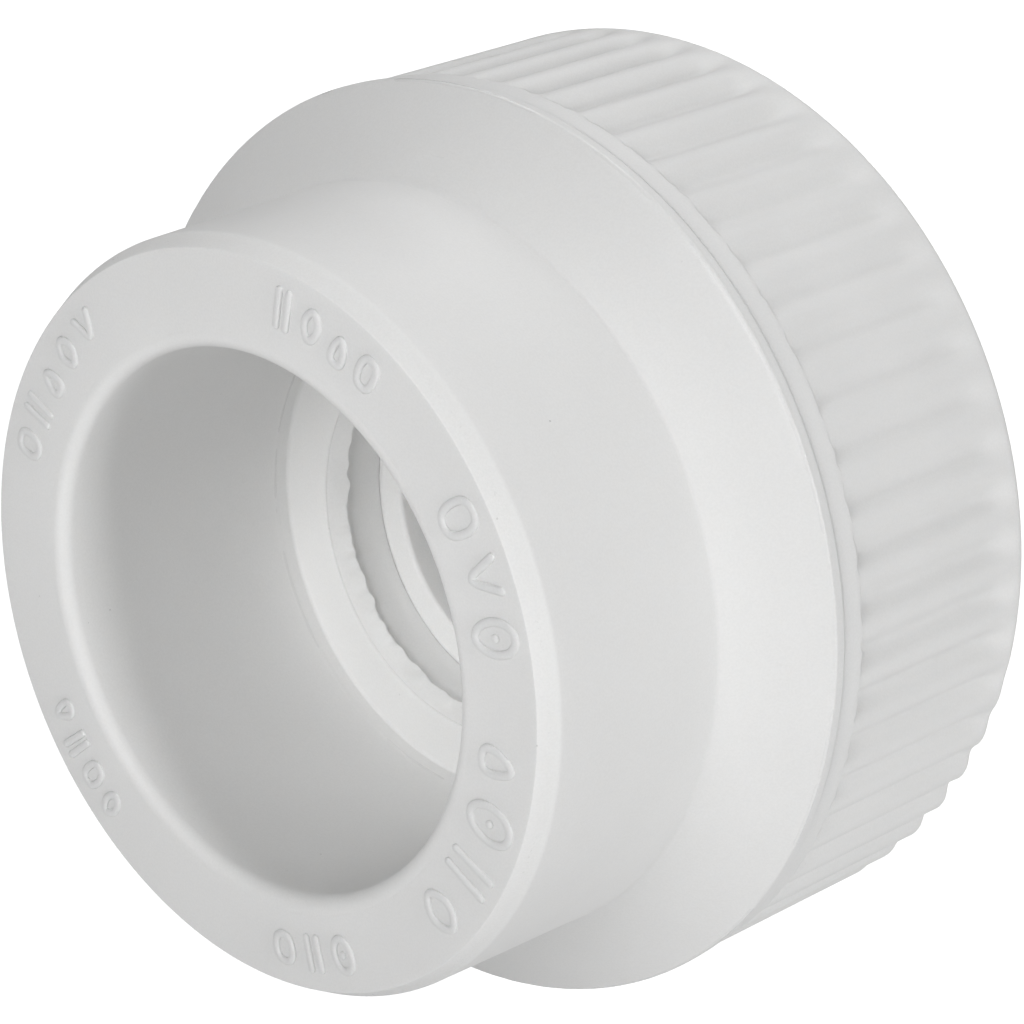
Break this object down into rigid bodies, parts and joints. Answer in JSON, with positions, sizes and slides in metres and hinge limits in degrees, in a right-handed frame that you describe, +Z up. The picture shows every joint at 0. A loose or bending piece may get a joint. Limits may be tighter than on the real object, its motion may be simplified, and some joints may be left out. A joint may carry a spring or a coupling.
{
  "type": "pipe union",
  "caption": "White plastic pipe union: a socketed half with a conical shoulder, a ribbed union nut, and a socketed tail piece sealed by an O-ring.",
  "frame": {"origin": "centre of the whole fitting, on its axis", "axes": "+Y along the fitting's axis, from the threaded half's socket to the tail piece's socket; +Z up with the fitting lying on the nut's ribs"},
  "size_m": [0.0698, 0.0506, 0.0698],
  "materials": {
    "white_plastic": "satin, faint scuffs",
    "white_plastic_nut": "satin, moulded ribs",
    "black_rubber": "smooth"
  },
  "bodies": {
    "threaded_half": {"threaded_half": "white_plastic"},
    "tail": {"tail_piece": "white_plastic", "o_ring": "black_rubber"},
    "nut": {"union_nut": "white_plastic_nut"}
  },
  "joints": [
    {"name": "tail_slide", "type": "slide", "parent": "threaded_half", "child": "tail", "axis": [0, 1, 0], "range_m": [0, 0.009]},
    {"name": "nut_turn", "type": "hinge", "parent": "tail", "child": "nut", "pos_m": [0, 0, 0], "axis": [0, 1, 0], "range_deg": [0, 1080]}
  ],
  "couplings": [
    {"joint": "tail_slide", "follows": "nut_turn", "m_per_rad": 0.00047746}
  ]
}
